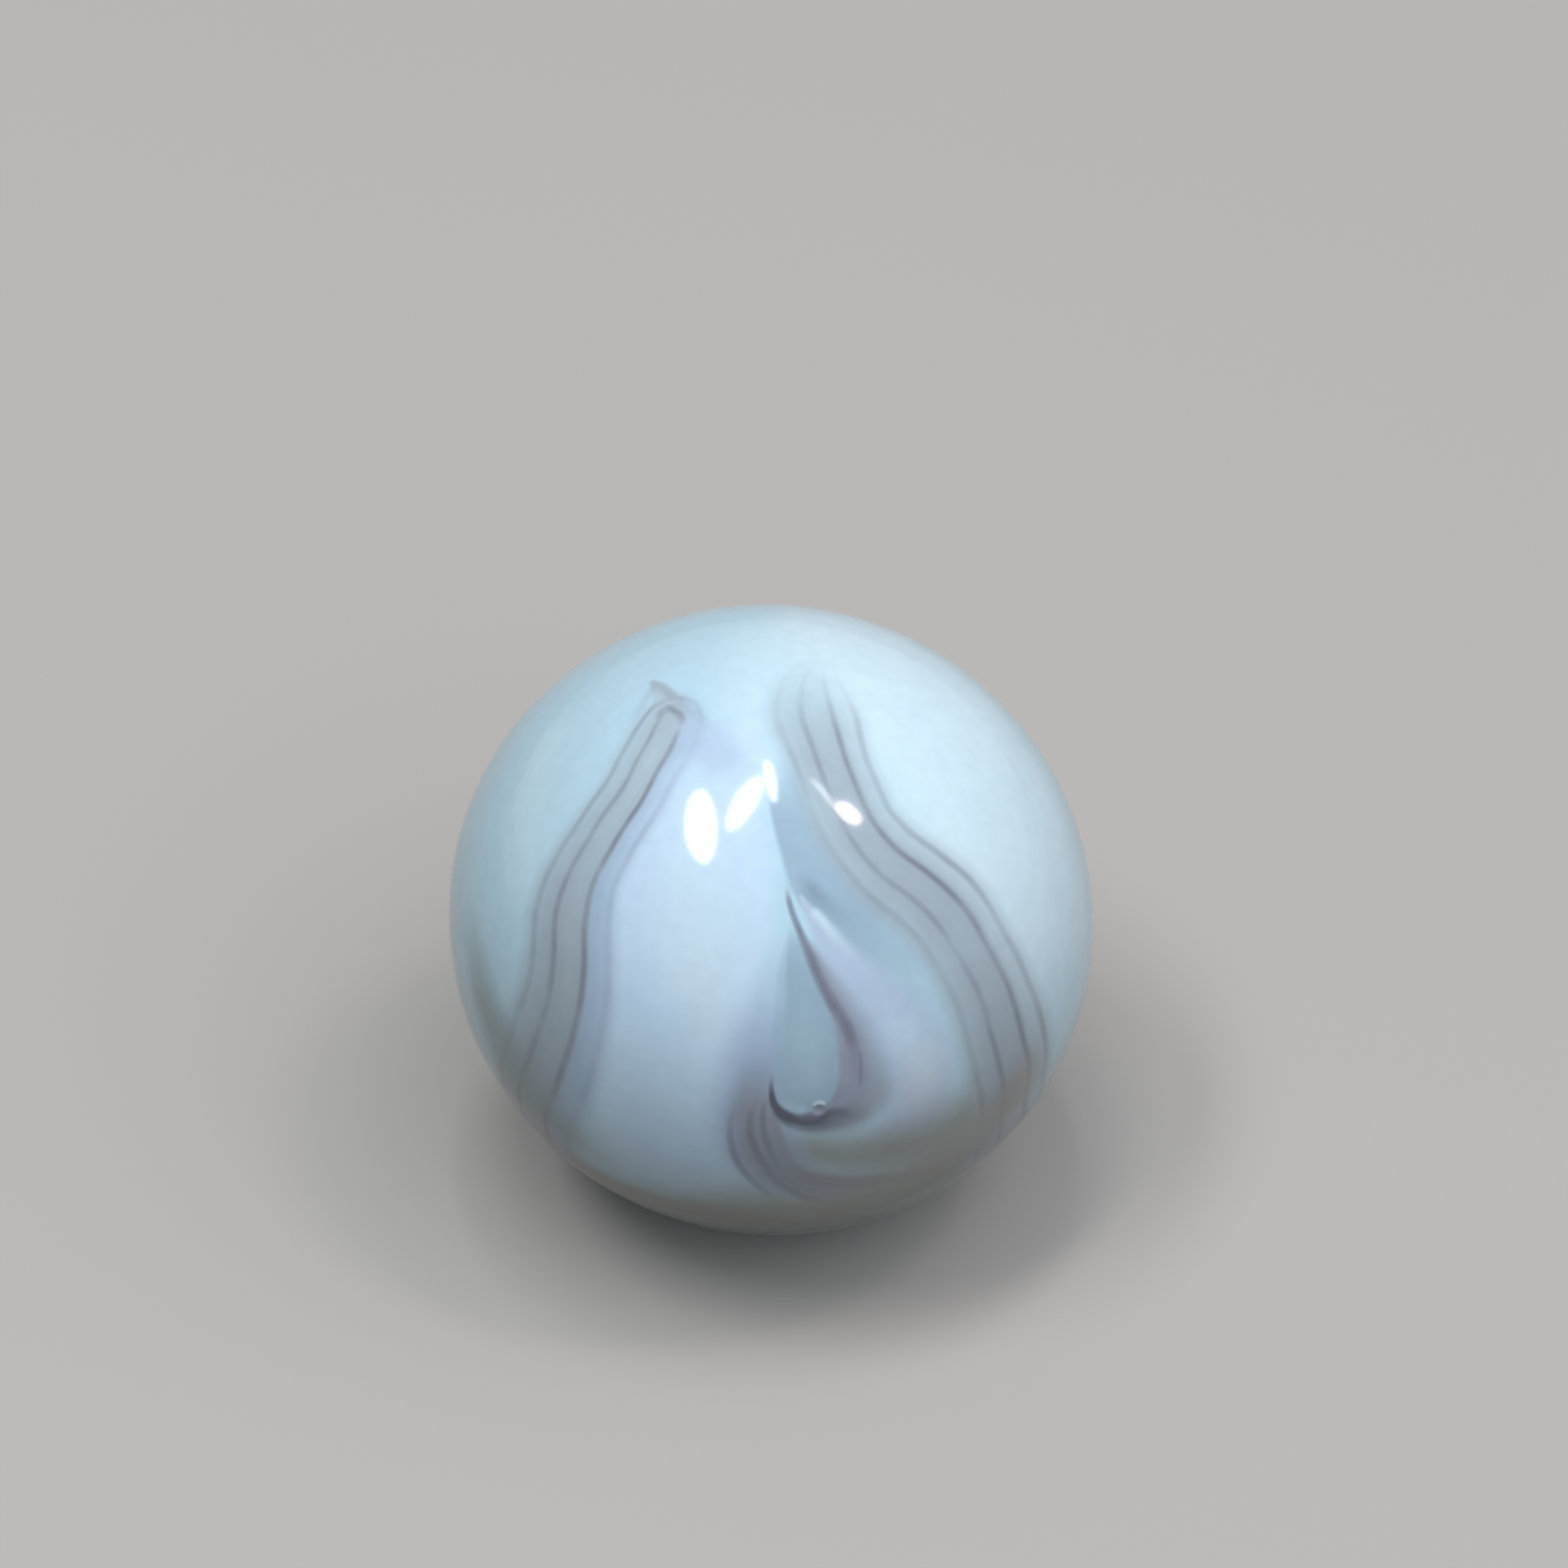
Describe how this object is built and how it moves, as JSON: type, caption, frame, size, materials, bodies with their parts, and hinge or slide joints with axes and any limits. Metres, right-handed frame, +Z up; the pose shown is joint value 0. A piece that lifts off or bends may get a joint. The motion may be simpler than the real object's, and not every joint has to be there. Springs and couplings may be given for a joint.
{
  "type": "glass marble",
  "caption": "Small ball of opaque swirled glass, a little out of round, with a pit and a fine shear mark; it rolls, and rests in a ring or a hollow.",
  "frame": {"origin": "centre of the ball", "axes": "+Z up as the ball lies with its swirl's closed tips on top, -Y towards the side where the swirl curls into its hook, +X to the right seen from there"},
  "size_m": [0.016, 0.0158, 0.0158],
  "materials": {
    "swirled_glass": "polished opaque glass, pale blue and lavender white with fine grey-brown swirl lines"
  },
  "bodies": {
    "root": {"marble": "swirled_glass"}
  },
  "joints": []
}
